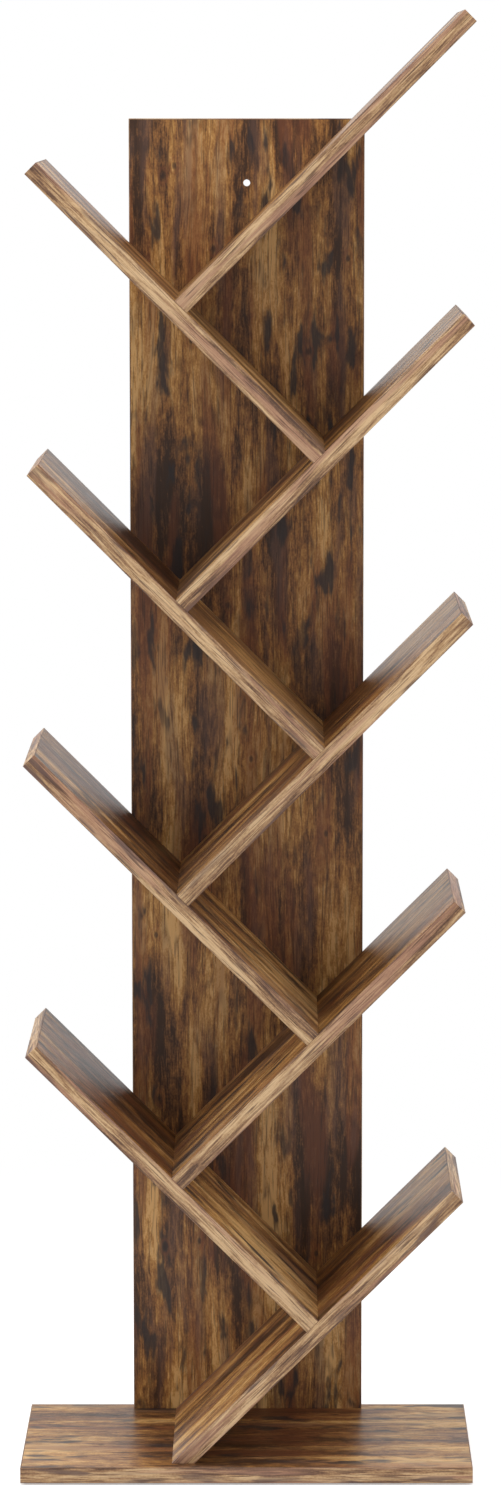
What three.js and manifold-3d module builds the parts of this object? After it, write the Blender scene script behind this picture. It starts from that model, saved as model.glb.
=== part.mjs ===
// Tree shaped bookshelf.
// A flat trunk board stands on a base board. Nine branch boards lean out of it
// in turn to the right and to the left, each resting its low end on the branch
// below. Screws from behind hold the branches to the trunk, and one screw goes
// up through each carrying branch into the end that rests on it.
//
// Millimetres. +Z is up, +X is to the right seen from the front, +Y is to the
// wall. The origin is on the floor, under the middle of the base.

import * as THREE from 'three';
import { mergeVertices } from 'three/addons/utils/BufferGeometryUtils.js';
import Module from 'manifold-3d';

// Boards of one thickness, with a band glued on each cut edge that shows.
const BOARD = 16;
const BAND = 1;

// The base lies flat. Its width and depth are taken over the bands.
const BASE_WIDTH = 450;
const BASE_DEPTH = 225;

// The trunk stands on the base, with its rear face flush with the base's.
const TRUNK_WIDTH = 236;
const TRUNK_CROWN = 105; // its top above the highest right branch, at mid width

// Branches. Each height is that of an upper face over the base, at mid width.
const LEAN_DEGREES = 45;
const BRANCH_LENGTH = 393; // along the upper face, from the low end to the free end
const FRONT_SETBACK = 14; // from the base's front to the branches' front
const RIGHT_START = 74.5;
const LEFT_START = 217;
const PITCH = 290;
const SHORT_PITCH = 278.5; // between the second and the third right branch

// Hole in the trunk for the screw that fixes it to the wall.
const WALL_HOLE_DIAMETER = 7;
const WALL_HOLE_DROP = 64; // below the trunk's top

// Countersunk connecting screw with a hexagon socket.
const SCREW_LENGTH = 50;
const HEAD_DIAMETER = 10;
const HEAD_RIM = 0.5;
const HEAD_DEPTH = 3;
const SHANK_DIAMETER = 7;
const SHANK_END = 12; // from the head's face
const THREAD_DIAMETER = 6.4;
const TIP_DIAMETER = 4;
const TIP_LENGTH = 4;
const SOCKET_FLATS = 4; // across flats
const SOCKET_DEPTH = 2.5;
const HEAD_SINK = 0.3; // the head's face below the board's face

// Places of the screws.
const INNER_SCREW_REACH = 48; // along a branch from its low end
const OUTER_SCREW_INSET = 28; // from the trunk's side, where the branch leaves it
const BASE_SCREW_INSET = 23; // from the trunk's sides

// Beech dowels: between base and trunk, and in the mitre of the first branch.
const TRUNK_DOWEL_DIAMETER = 8;
const TRUNK_DOWEL_LENGTH = 26;
const TRUNK_DOWEL_IN_BASE = 11;
const TRUNK_DOWEL_INSET = 58; // from the trunk's sides
const FOOT_DOWEL_DIAMETER = 6;
const FOOT_DOWEL_LENGTH = 18;
const FOOT_DOWEL_IN_BASE = 10;
const FOOT_DOWEL_INSET = 37.5; // from the branch's front and rear
const FOOT_DOWEL_PLACE_SHARE = 0.66; // of the mitre's length, from its sharp edge
const DOWEL_CHAMFER = 1;

// Round glides stuck under the base.
const GLIDE_DIAMETER = 20;
const GLIDE_HEIGHT = 2;
const GLIDE_CHAMFER = 0.6;
const GLIDE_INSET = 30; // from the base's edges to a glide's middle

// Clearances.
const BORE_FIT = 0.3; // all round a screw or a dowel
const SEAT_GAP = 0.3; // where a slanted end rests on the board below it
const BAND_GAP = 0.3; // between a branch's free end and its band
const OVERRUN = 5; // how far a cutting solid passes the face that it cuts

const FASTENER_SIDES = 10;
const GLIDE_SIDES = 24;
const HOLE_SIDES = 24;
const HEXAGON = 6;

// Heights and places that follow from the sizes above.
const lean = THREE.MathUtils.degToRad(LEAN_DEGREES);
const quarterTurn = Math.PI / 2;
const halfBase = BASE_WIDTH / 2;
const halfTrunk = TRUNK_WIDTH / 2;
const rear = BASE_DEPTH / 2;
const baseFront = -rear;
const trunkFront = rear - BOARD;
const branchFront = baseFront + FRONT_SETBACK;
const branchMiddle = (branchFront + trunkFront) / 2;
const baseUnder = GLIDE_HEIGHT;
const baseTop = baseUnder + BOARD;

const steps = (start, pitches) => pitches.reduce((all, pitch) => [...all, all.at(-1) + pitch], [start]);
const rightHeights = steps(baseTop + RIGHT_START, [PITCH, SHORT_PITCH, PITCH, PITCH]);
const leftHeights = steps(baseTop + LEFT_START, [PITCH, PITCH, PITCH]);
const trunkTop = rightHeights.at(-1) + TRUNK_CROWN;

const wasm = await Module();
wasm.setup();

// A closed three.js geometry as a solid that can be joined and cut.
function solidOf(geometry) {
  geometry.deleteAttribute('normal');
  geometry.deleteAttribute('uv');
  const merged = mergeVertices(geometry);
  return new wasm.Manifold(new wasm.Mesh({
    numProp: 3,
    vertProperties: merged.attributes.position.array,
    triVerts: Uint32Array.from(merged.index.array),
  }));
}

// The solid as a three.js geometry again.
function geometryOf(solid) {
  const { vertProperties, triVerts } = solid.getMesh();
  const geometry = new THREE.BufferGeometry();
  geometry.setAttribute('position', new THREE.BufferAttribute(vertProperties, 3));
  geometry.setIndex(new THREE.BufferAttribute(triVerts, 1));
  return geometry;
}

// A solid of one outline. place() says where a point of the outline goes on
// the first end and on the last end, so that faces land exactly.
function extruded(outline, place) {
  const shape = new THREE.Shape(outline.map(([a, b]) => new THREE.Vector2(a, b)));
  const geometry = new THREE.ExtrudeGeometry(shape, { depth: 1, bevelEnabled: false });
  const points = geometry.attributes.position;
  for (let i = 0; i < points.count; i += 1) {
    points.setXYZ(i, ...place(points.getX(i), points.getY(i), points.getZ(i) > 0));
  }
  return solidOf(geometry);
}

// Outline in X and Z, from one Y to another.
const prism = (outline, front, back) => extruded(outline, (x, z, last) => [x, last ? front : back, z]);

// Outline in X and Y, from one Z to another.
const slab = (outline, low, high) => extruded(outline, (x, y, last) => [x, y, last ? high : low]);

const rectangle = (x0, y0, x1, y1) => [[x0, y0], [x1, y0], [x1, y1], [x0, y1]];

// A turned solid about the Y axis, from a profile of [radius, y] with y rising.
function turned(profile, sides) {
  const points = profile.map(([radius, y]) => new THREE.Vector2(radius, y));
  return solidOf(new THREE.LatheGeometry(points, sides));
}

// The screw points along -Y with its head's face at y = 0. With a fit, it is
// the bore for that screw, open past the head.
function screwBody(fit) {
  const top = fit > 0 ? OVERRUN : 0;
  return turned([
    [0, -SCREW_LENGTH - fit],
    [TIP_DIAMETER / 2 + fit, -SCREW_LENGTH - fit],
    [THREAD_DIAMETER / 2 + fit, TIP_LENGTH - SCREW_LENGTH],
    [THREAD_DIAMETER / 2 + fit, -SHANK_END - fit],
    [SHANK_DIAMETER / 2 + fit, -SHANK_END - fit],
    [SHANK_DIAMETER / 2 + fit, -HEAD_DEPTH - fit],
    [HEAD_DIAMETER / 2 + fit, -HEAD_RIM - fit],
    [HEAD_DIAMETER / 2 + fit, top],
    [0, top],
  ], FASTENER_SIDES);
}

function screw() {
  const radius = SOCKET_FLATS / Math.sqrt(3);
  const socket = turned([
    [0, -SOCKET_DEPTH],
    [radius, -SOCKET_DEPTH],
    [radius, OVERRUN],
    [0, OVERRUN],
  ], HEXAGON);
  return screwBody(0).subtract(socket);
}

// A dowel stands along Y with its middle at y = 0.
function dowel(diameter, length, chamfer, fit) {
  const radius = diameter / 2 + fit;
  const half = length / 2 + fit;
  return turned([
    [0, -half],
    [radius - chamfer, -half],
    [radius, chamfer - half],
    [radius, half - chamfer],
    [radius - chamfer, half],
    [0, half],
  ], FASTENER_SIDES);
}

function glide() {
  const radius = GLIDE_DIAMETER / 2;
  return turned([
    [0, 0],
    [radius, 0],
    [radius, GLIDE_HEIGHT - GLIDE_CHAMFER],
    [radius - GLIDE_CHAMFER, GLIDE_HEIGHT],
    [0, GLIDE_HEIGHT],
  ], GLIDE_SIDES);
}

const finishes = {
  board: new THREE.MeshStandardMaterial({ color: 0x7b5a41, roughness: 0.55, metalness: 0 }),
  band: new THREE.MeshStandardMaterial({ color: 0xa9845f, roughness: 0.55, metalness: 0 }),
  zinc: new THREE.MeshStandardMaterial({ color: 0xb9bab6, roughness: 0.35, metalness: 1 }),
  beech: new THREE.MeshStandardMaterial({ color: 0xd3b184, roughness: 0.7, metalness: 0 }),
  glide: new THREE.MeshStandardMaterial({ color: 0x3b3a38, roughness: 0.8, metalness: 0 }),
};

const bookshelf = new THREE.Group();

// Each piece keeps its solid until the bores of the fasteners in it are cut.
const solids = new Map();

function piece(parent, name, solid, finish) {
  const mesh = new THREE.Mesh(new THREE.BufferGeometry(), finish);
  mesh.name = name;
  parent.add(mesh);
  solids.set(mesh, solid);
  return mesh;
}

// A fastener's bore is cut at the fastener's own place in every piece it joins.
function fastener(mesh, bore, joined) {
  mesh.updateWorldMatrix(true, false);
  for (const board of joined) {
    board.updateWorldMatrix(true, false);
    const place = board.matrixWorld.clone().invert().multiply(mesh.matrixWorld);
    solids.set(board, solids.get(board).subtract(bore.transform(place.elements)));
  }
}

function addScrew(parent, name, joined, position, rotation = {}) {
  const mesh = piece(parent, name, screw(), finishes.zinc);
  mesh.position.set(...position);
  Object.assign(mesh.rotation, rotation);
  fastener(mesh, screwBody(BORE_FIT), joined);
}

// Dowels stand upright, with a given depth in the base.
function addDowel(name, joined, diameter, length, inBase, x, y) {
  const mesh = piece(bookshelf, name, dowel(diameter, length, DOWEL_CHAMFER, 0), finishes.beech);
  mesh.position.set(x, y, baseTop - inBase + length / 2);
  mesh.rotation.x = quarterTurn;
  fastener(mesh, dowel(diameter, length, DOWEL_CHAMFER, BORE_FIT), joined);
}

// Base, with one band all round it.
function addBase() {
  const outline = rectangle(BAND - halfBase, baseFront + BAND, halfBase - BAND, rear - BAND);
  const ring = slab(rectangle(-halfBase, baseFront, halfBase, rear), baseUnder, baseTop)
    .subtract(slab(outline, baseUnder - OVERRUN, baseTop + OVERRUN));
  piece(bookshelf, 'base_edge_band', ring, finishes.band);
  return piece(bookshelf, 'base_board', slab(outline, baseUnder, baseTop), finishes.board);
}

// Trunk, with one band up a side, over the top and down the other side.
function addTrunk() {
  const inner = halfTrunk - BAND;
  const top = trunkTop - BAND;
  const hole = turned([
    [0, trunkFront - OVERRUN],
    [WALL_HOLE_DIAMETER / 2, trunkFront - OVERRUN],
    [WALL_HOLE_DIAMETER / 2, rear + OVERRUN],
    [0, rear + OVERRUN],
  ], HOLE_SIDES).translate(0, 0, trunkTop - WALL_HOLE_DROP);
  const board = prism(rectangle(-inner, baseTop, inner, top), trunkFront, rear).subtract(hole);
  const band = prism([
    [-halfTrunk, baseTop], [-halfTrunk, trunkTop], [halfTrunk, trunkTop], [halfTrunk, baseTop],
    [inner, baseTop], [inner, top], [-inner, top], [-inner, baseTop],
  ], trunkFront, rear);
  piece(bookshelf, 'trunk_edge_band', band, finishes.band);
  return piece(bookshelf, 'trunk_board', board, finishes.board);
}

// A branch lies in a group of its own, turned to its lean. There its upper
// face is z = 0, its low edge is at x = 0, and it runs out along side * x.
// foot is the angle between the branch and the face that it stands on. One
// band goes along its front, over its free end and back along its rear.
function addBranch(name, side, tip, foot) {
  const group = new THREE.Group();
  group.position.set(tip.x, 0, tip.z);
  group.rotation.y = -side * lean;
  bookshelf.add(group);

  const low = SEAT_GAP / Math.sin(foot);
  const slant = BOARD / Math.tan(foot);
  const profile = (end) => [
    [side * low, 0], [side * end, 0], [side * end, -BOARD], [side * (low + slant), -BOARD],
  ];
  const endInside = BRANCH_LENGTH - BAND;
  const frontInside = branchFront + BAND;
  const rearInside = trunkFront - BAND;
  const board = piece(group, `branch_${name}`,
    prism(profile(endInside - BAND_GAP), frontInside, rearInside), finishes.board);

  const strip = slab([
    [-side * BOARD, branchFront], [side * BRANCH_LENGTH, branchFront],
    [side * BRANCH_LENGTH, trunkFront], [-side * BOARD, trunkFront],
    [-side * BOARD, rearInside], [side * endInside, rearInside],
    [side * endInside, frontInside], [-side * BOARD, frontInside],
  ], -BOARD, 0);
  const reach = prism(profile(BRANCH_LENGTH), branchFront, trunkFront);
  const band = piece(group, `edge_band_${name}`, strip.intersect(reach), finishes.band);
  return { name, side, tip, foot, group, board, band };
}

// Two screws go through the trunk from behind into the branch's rear edge, at
// mid thickness.
function addTrunkScrews(branch) {
  const { name, side, tip, board, band } = branch;
  const middle = BOARD / 2 / Math.cos(lean);
  const inner = tip.x + side * INNER_SCREW_REACH * Math.cos(lean);
  const outer = side * (halfTrunk - OUTER_SCREW_INSET);
  for (const [place, x] of [['inner', inner], ['outer', outer]]) {
    const z = tip.z + side * (x - tip.x) * Math.tan(lean) - middle;
    addScrew(bookshelf, `trunk_screw_${name}_${place}`, [trunk, band, board], [x, rear - HEAD_SINK, z]);
  }
}

// One screw goes through the carrying branch into the low end that rests on it.
function addEndScrew(branch, carrier) {
  const { name, side, foot, group, board } = branch;
  const start = BOARD / 2 / Math.tan(foot) - BOARD / Math.sin(foot) + HEAD_SINK;
  addScrew(group, `end_screw_${name}`, [carrier.board, board],
    [side * start, branchMiddle, -BOARD / 2], { z: side * quarterTurn });
}

const base = addBase();
const trunk = addTrunk();

// The upper faces of a right branch and of a left branch meet where their
// heights at mid width, less and plus the rise to that place, are the same.
const meeting = (right, left) => ({
  x: (left - right) / 2 / Math.tan(lean),
  z: (left + right) / 2,
});

// The first right branch stands on the base and is cut level there. Then each
// branch stands on the one before it, which leans to the other side.
const firstTip = { x: (baseTop - rightHeights[0]) / Math.tan(lean), z: baseTop };
const firstBranch = addBranch('right_1', 1, firstTip, lean);
const branches = [firstBranch];
for (let i = 0; i < leftHeights.length; i += 1) {
  branches.push(addBranch(`left_${i + 1}`, -1, meeting(rightHeights[i], leftHeights[i]), 2 * lean));
  branches.push(addBranch(`right_${i + 2}`, 1, meeting(rightHeights[i + 1], leftHeights[i]), 2 * lean));
}
branches.forEach(addTrunkScrews);
branches.slice(1).forEach((branch, i) => addEndScrew(branch, branches[i]));

// Screws and dowels from the base up into the trunk's lower edge.
const trunkMiddle = (trunkFront + rear) / 2;
const baseScrewX = halfTrunk - BASE_SCREW_INSET;
for (const [place, x] of [['left', -baseScrewX], ['middle', 0], ['right', baseScrewX]]) {
  addScrew(bookshelf, `base_screw_${place}`, [base, trunk],
    [x, trunkMiddle, baseUnder + HEAD_SINK], { x: -quarterTurn });
}
const trunkDowelX = halfTrunk - TRUNK_DOWEL_INSET;
for (const [place, x] of [['left', -trunkDowelX], ['right', trunkDowelX]]) {
  addDowel(`trunk_dowel_${place}`, [base, trunk],
    TRUNK_DOWEL_DIAMETER, TRUNK_DOWEL_LENGTH, TRUNK_DOWEL_IN_BASE, x, trunkMiddle);
}

// Dowels in the mitre keep the first branch's low end in place on the base.
const footDowelX = firstTip.x + FOOT_DOWEL_PLACE_SHARE * BOARD / Math.sin(lean);
const footDowelFront = branchFront + FOOT_DOWEL_INSET;
const footDowelRear = trunkFront - FOOT_DOWEL_INSET;
for (const [place, y] of [['front', footDowelFront], ['rear', footDowelRear]]) {
  addDowel(`foot_dowel_${place}`, [base, firstBranch.board],
    FOOT_DOWEL_DIAMETER, FOOT_DOWEL_LENGTH, FOOT_DOWEL_IN_BASE, footDowelX, y);
}

// A glide near each corner of the base.
for (const [depthName, y] of [['front', baseFront + GLIDE_INSET], ['rear', rear - GLIDE_INSET]]) {
  for (const [sideName, x] of [['left', GLIDE_INSET - halfBase], ['right', halfBase - GLIDE_INSET]]) {
    const mesh = piece(bookshelf, `glide_${depthName}_${sideName}`, glide(), finishes.glide);
    mesh.position.set(x, y, baseUnder);
    mesh.rotation.x = -quarterTurn;
  }
}

for (const [mesh, solid] of solids) mesh.geometry = geometryOf(solid);

export default bookshelf;
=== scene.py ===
# %% [markdown]
# # A tree shaped bookshelf
#
# One upright board, the trunk, stands at the rear of a base board. Nine branch boards lean out of it at 45
# degrees, in turn to the right and to the left, and each rests its low end on the branch below. Books stand
# in the V shaped bays. The boards are particle board with a printed wood laminate, and a thin edge band is
# glued on every cut edge.
#
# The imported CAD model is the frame. It says where each piece is, and this lesson makes each of them again
# with softened edges, round bores and real finishes, in the same place and at the same size.

# %% Load the frame
import math

import bmesh
import bpy
from mathutils import Matrix, Vector


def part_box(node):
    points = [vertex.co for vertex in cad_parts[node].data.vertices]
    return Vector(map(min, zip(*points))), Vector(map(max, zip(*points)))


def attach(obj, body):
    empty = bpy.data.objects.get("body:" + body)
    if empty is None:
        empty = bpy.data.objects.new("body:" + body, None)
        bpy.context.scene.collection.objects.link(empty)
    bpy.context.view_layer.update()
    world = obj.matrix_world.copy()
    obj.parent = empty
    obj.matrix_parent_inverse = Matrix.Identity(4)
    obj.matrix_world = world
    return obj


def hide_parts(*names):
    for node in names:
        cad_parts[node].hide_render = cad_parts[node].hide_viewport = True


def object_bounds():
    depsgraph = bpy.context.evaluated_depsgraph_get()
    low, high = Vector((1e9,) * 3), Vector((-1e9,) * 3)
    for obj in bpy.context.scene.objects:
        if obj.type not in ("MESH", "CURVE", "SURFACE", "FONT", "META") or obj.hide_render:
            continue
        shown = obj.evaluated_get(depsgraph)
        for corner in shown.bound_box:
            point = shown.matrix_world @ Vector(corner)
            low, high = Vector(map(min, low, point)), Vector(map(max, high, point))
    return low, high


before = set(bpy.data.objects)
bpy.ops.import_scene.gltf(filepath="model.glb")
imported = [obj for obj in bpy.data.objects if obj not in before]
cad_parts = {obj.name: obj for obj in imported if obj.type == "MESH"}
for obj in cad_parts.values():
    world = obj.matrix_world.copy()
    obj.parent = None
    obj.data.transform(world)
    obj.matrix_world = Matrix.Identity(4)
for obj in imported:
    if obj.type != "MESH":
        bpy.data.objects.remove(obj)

cad_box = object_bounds()
cad_size = cad_box[1] - cad_box[0]
print("the frame holds", len(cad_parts), "nodes, and is", [round(s, 4) for s in cad_size], "m")

# %% [markdown]
# ## Small helpers for node trees
#
# Both the shapes and the finishes below are node trees. They could be drawn by hand in the editor, but then
# this file couldn't tell how they work, so it builds them. Each tree is finished before the next one starts,
# so the helpers put every node into the last tree on the `BENCH`. `put` places a node and gives the wire from
# its output. Wires can be added, multiplied and compared like numbers, and each sign places a Math node, so
# that a rule reads as it would on paper.

# %% Helpers for node trees
MM = 0.001
FLOAT = "NodeSocketFloat"
POINT = "NodeSocketVector"
MATERIAL = "NodeSocketMaterial"
GEOMETRY = "NodeSocketGeometry"
NUMBERS = {float: FLOAT, int: "NodeSocketInt"}
BENCH = []


class Wire:
    """What comes out of a node. Arithmetic on wires places Math nodes."""

    def __init__(self, socket):
        self.socket = socket

    def __add__(self, other):
        return calc("ADD", self, other)

    def __sub__(self, other):
        return calc("SUBTRACT", self, other)

    def __mul__(self, other):
        return calc("MULTIPLY", self, other)

    def __truediv__(self, other):
        return calc("DIVIDE", self, other)

    def __lt__(self, other):
        return calc("LESS_THAN", self, other)

    def __gt__(self, other):
        return calc("GREATER_THAN", self, other)

    def __abs__(self):
        return calc("ABSOLUTE", self)


def feed(sockets, feeds):
    """Gives each socket, found by name or by place, a wire or a plain value."""
    for key, value in feeds.items():
        if isinstance(value, Wire):
            BENCH[-1].links.new(value.socket, sockets[key])
        else:
            sockets[key].default_value = value


def add(kind, feeds=None, **settings):
    """Places a node."""
    node = BENCH[-1].nodes.new(kind)
    for name, value in settings.items():
        setattr(node, name, value)
    feed(node.inputs, feeds or {})
    return node


def put(kind, feeds=None, output=0, **settings):
    """Places a node and gives the wire from one of its outputs."""
    return Wire(add(kind, feeds, **settings).outputs[output])


def calc(operation, *feeds):
    """One step of arithmetic on numbers."""
    return put("ShaderNodeMath", dict(enumerate(feeds)), operation=operation)


def calc_point(operation, *feeds):
    """One step of arithmetic on points."""
    return put("ShaderNodeVectorMath", dict(enumerate(feeds)), operation=operation)


def wires(node):
    """The wires from all outputs of a node, by name."""
    return {socket.name: Wire(socket) for socket in node.outputs}


def point(x=0.0, y=0.0, z=0.0):
    """Three numbers joined to a point."""
    return put("ShaderNodeCombineXYZ", {0: x, 1: y, 2: z})


def coordinates(place):
    """A point's three numbers."""
    return wires(add("ShaderNodeSeparateXYZ", {0: place})).values()


def new_group(name, kind, takes, gives):
    """Starts a group. takes has each input's first number or socket type, gives each output's type."""
    tree = bpy.data.node_groups.new(name, kind)
    BENCH.append(tree)
    for label, start in takes.items():
        socket_type = NUMBERS.get(type(start), start)
        taken = tree.interface.new_socket(label, in_out="INPUT", socket_type=socket_type)
        if socket_type is not start:
            taken.default_value = start
    for label, socket_type in gives.items():
        tree.interface.new_socket(label, in_out="OUTPUT", socket_type=socket_type)
    return tree, wires(add("NodeGroupInput")), add("NodeGroupOutput").inputs


# %% [markdown]
# ## The boards as the frame has them
#
# Every board is the same thing: a slab of one thickness with a face that shows. Eleven descriptions would say
# the same eleven times, so one class describes them all. It keeps a board's own directions: *along* its
# grain, *across* it, and out of its *face*. They turn a slab that is modelled lying flat at the origin into
# the real board, and a point of the real board back, which the grain needs later. A branch's low end stands a
# hair, `SEAT`, clear of the board that carries it.

# %% Read the boards' places from the frame
LEAN = math.radians(45)
BRANCH_LENGTH = 393 * MM
SEAT = 0.05 * MM

base_low, base_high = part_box("base_board")
trunk_low, trunk_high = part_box("trunk_board")
BOARD = base_high.z - base_low.z
BAND = base_low.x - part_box("base_edge_band")[0].x


class Board:
    """A slab whose face has its low end at origin. Its length and width are those inside the edge bands."""

    def __init__(self, name, origin, along, face, length, width, slant=0.0, banded_foot=False):
        self.name, self.length, self.width, self.slant = name, length, width, slant
        self.banded_foot = banded_foot
        across = face.cross(along)
        self.place = Matrix.Translation(origin) @ Matrix((along, across, face)).transposed().to_4x4()
        self.bores = []

    def sizes(self, finish):
        return {
            "Length": self.length, "Width": self.width, "Thickness": BOARD, "Foot Slant": self.slant,
            "Place": self.place.to_translation(), "Turn": Vector(self.place.to_euler()), "Finish": finish,
        }


def branch_board(name, side):
    """A branch, from the box of its edge band: its far upper corner fixes the rest of it."""
    low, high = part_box(f"edge_band_{name}")
    along = Vector((side * math.cos(LEAN), 0, math.sin(LEAN)))
    face = Vector((-side * math.sin(LEAN), 0, math.cos(LEAN)))
    outermost = high.x if side > 0 else low.x
    corner = Vector((outermost - side * BOARD * math.sin(LEAN), (low.y + high.y) / 2, high.z))
    origin = corner + along * (SEAT - BRANCH_LENGTH)
    slant = BOARD if name == "right_1" else 0.0
    width = high.y - low.y - 2 * BAND
    return Board(name, origin, along, face, BRANCH_LENGTH - BAND - SEAT, width, slant)


X, Y, Z = Vector((1, 0, 0)), Vector((0, 1, 0)), Vector((0, 0, 1))
base_size = base_high - base_low
trunk_size = trunk_high - trunk_low
base_origin = Vector((base_low.x, 0, base_high.z))
base = Board("base", base_origin, X, Z, base_size.x, base_size.y, banded_foot=True)
trunk = Board("trunk", Vector((0, trunk_low.y, trunk_low.z)), Z, -Y, trunk_size.z, trunk_size.x)
branches = [branch_board("right_1", 1)]
for step in range(1, 5):
    branches += [branch_board(f"left_{step}", -1), branch_board(f"right_{step + 1}", 1)]
boards = [base, trunk, *branches]
for board in boards:
    start = board.place.to_translation() / MM
    print(f"{board.name}: starts at {[round(c, 1) for c in start]}, {board.length / MM:.1f} mm long")

# %% [markdown]
# ## The fasteners' places
#
# The screws can't be seen from the front, but a buyer who walks round the shelf sees eighteen heads in the
# trunk's rear, eight under the branches and three under the base. Each screw joins two boards. If each
# board's bores were written by hand, the two could drift apart, so a screw is written down once and both
# boards get its bore. That is a list of radii and depths along its axis, and it starts a little outside the
# board, so that it cuts cleanly through the face. The frame's boxes give the screws that are square to it. A
# screw in a low end lies slanted, so it follows its branch instead.

# %% Find every screw, dowel and glide
SCREW_LENGTH = 50 * MM
HEAD_RADIUS = 5 * MM
HEAD_RIM = 0.5 * MM
HEAD_DEPTH = 3 * MM
HEAD_SINK = 0.3 * MM
SHANK_RADIUS = 3.5 * MM
SHANK_END = 12 * MM
THREAD_RADIUS = 3.2 * MM
TIP_RADIUS = 2 * MM
TIP_LENGTH = 4 * MM
BORE_FIT = 0.1 * MM
OVERRUN = 5 * MM

WALL_HOLE_RADIUS = 3.5 * MM
WALL_HOLE_DROP = 64 * MM
MOUTH = 0.15 * MM


def middle(node):
    low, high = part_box(node)
    return (low + high) / 2


def pointing(place, aim):
    """Turns +Z to aim and moves the origin to place."""
    return Matrix.Translation(place) @ aim.to_track_quat("Z", "Y").to_matrix().to_4x4()


screw_profile = [
    (HEAD_RADIUS, -OVERRUN), (HEAD_RADIUS, HEAD_RIM), (SHANK_RADIUS, HEAD_DEPTH), (SHANK_RADIUS, SHANK_END),
    (THREAD_RADIUS, SHANK_END + BORE_FIT), (THREAD_RADIUS, SCREW_LENGTH - TIP_LENGTH),
    (TIP_RADIUS, SCREW_LENGTH + BORE_FIT),
]
screw_bore = [(radius + BORE_FIT, depth) for radius, depth in screw_profile]
screws = {}
for branch in branches:
    for end in ("inner", "outer"):
        node = f"trunk_screw_{branch.name}_{end}"
        head = middle(node)
        head.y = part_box(node)[1].y
        screws[node] = (head, -Y, [trunk, branch])
for carrier, branch in zip(branches, branches[1:]):
    along = branch.place.to_3x3() @ X
    face = branch.place.to_3x3() @ Z
    seat = branch.place.to_translation() - along * SEAT
    head = seat - along * (BOARD - HEAD_SINK) - face * BOARD / 2
    screws[f"end_screw_{branch.name}"] = (head, along, [carrier, branch])
for place in ("left", "middle", "right"):
    node = f"base_screw_{place}"
    head = middle(node)
    head.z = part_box(node)[0].z
    screws[node] = (head, Z, [base, trunk])
for head, aim, joined in screws.values():
    for board in joined:
        board.bores.append((screw_bore, pointing(head, aim)))

dowels = {}
for node in ("trunk_dowel_left", "trunk_dowel_right", "foot_dowel_front", "foot_dowel_rear"):
    low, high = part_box(node)
    radius, length = (high.x - low.x) / 2, high.z - low.z
    dowels[node] = (middle(node), radius, length)
    bore = [(radius + BORE_FIT, -length / 2 - BORE_FIT), (radius + BORE_FIT, length / 2 + BORE_FIT)]
    for board in (base, trunk if node.startswith("trunk") else branches[0]):
        board.bores.append((bore, pointing(middle(node), Z)))

hole_centre = Vector((0, trunk_low.y, trunk_high.z + BAND - WALL_HOLE_DROP))
wall_hole = [
    (WALL_HOLE_RADIUS + 2 * MOUTH, -MOUTH), (WALL_HOLE_RADIUS, MOUTH),
    (WALL_HOLE_RADIUS, BOARD - MOUTH), (WALL_HOLE_RADIUS + 2 * MOUTH, BOARD + MOUTH),
]
trunk.bores.append((wall_hole, pointing(hole_centre, Y)))

glides = [f"glide_{depth}_{side}" for depth in ("front", "rear") for side in ("left", "right")]
print(len(screws), "screws,", len(dowels), "dowels,", len(glides), "glides,")
print(len(trunk.bores), "holes in the trunk")

# %% [markdown]
# ## Colours
#
# A colour is easiest to name as it looks on a screen, from 0 to 255, while a shader counts light, so `seen`
# turns the one into the other. This print imitates old planks: its tones run from charred grey through brown
# to straw, with a few red and mauve planks between them.

# %% Name the colours
def seen(red, green, blue):
    """A colour as it looks on a screen, as the amounts of light that a shader takes."""
    parts = [c / 255 for c in (red, green, blue)]
    return (*[c / 12.92 if c <= 0.04045 else ((c + 0.055) / 1.055) ** 2.4 for c in parts], 1.0)


FACE_TONES = {
    0.00: seen(62, 39, 22), 0.15: seen(98, 65, 37), 0.35: seen(130, 88, 50), 0.55: seen(156, 109, 59),
    0.75: seen(176, 129, 71), 0.90: seen(194, 147, 86), 1.00: seen(214, 171, 112),
}
BAND_TONES = {
    0.00: seen(82, 59, 46), 0.25: seen(126, 93, 68), 0.50: seen(158, 123, 89),
    0.75: seen(180, 145, 106), 1.00: seen(208, 175, 134),
}
CHARCOAL = seen(44, 38, 39)
RED_BROWN = seen(128, 76, 48)
MAUVE = seen(108, 82, 72)
UMBER_LINE = seen(52, 36, 29)
BAND_MAUVE = seen(94, 73, 68)
BAND_PINK = seen(170, 127, 105)
BAND_STROKE = seen(84, 61, 50)

# %% [markdown]
# ## Patterns that several finishes share
#
# A picture of wood would be the usual way to a printed board, but it has seams and only one size, while a
# pattern can be cut anywhere. The faces and the edge bands show the same kind of print, only in other tones
# and widths, so its pattern is a group: it gives masks, and each finish colours them. It works on a flat
# sheet, in metres, with its first coordinate along the grain.
#
# Noise that is divided by a long length and a narrow width makes streaks, and a gentle wave bends them all
# together, as growth does. Each row of the table is a layer: a length, a width and the share of that width,
# then the noise's detail, roughness, shift and warp. The tone is a sum: wide zones are the planks, and over
# them lie streaks, flecks, fibres and a little grit as fine as the print's dots. Soft threshold masks pick
# out red and mauve planks, thin dark lines, and the rings of growth, the contour lines of one slow noise. The
# charred blotches keep to some strips of the sheet, and the streaks and fibres that are added to them before
# the threshold fray their edges.

# %% Helpers for masks
SIDE_SHIFT = 0.7
NOISE_MIDDLE = 0.5
NOISE_SPAN = (0.3, 0.7)


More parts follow.
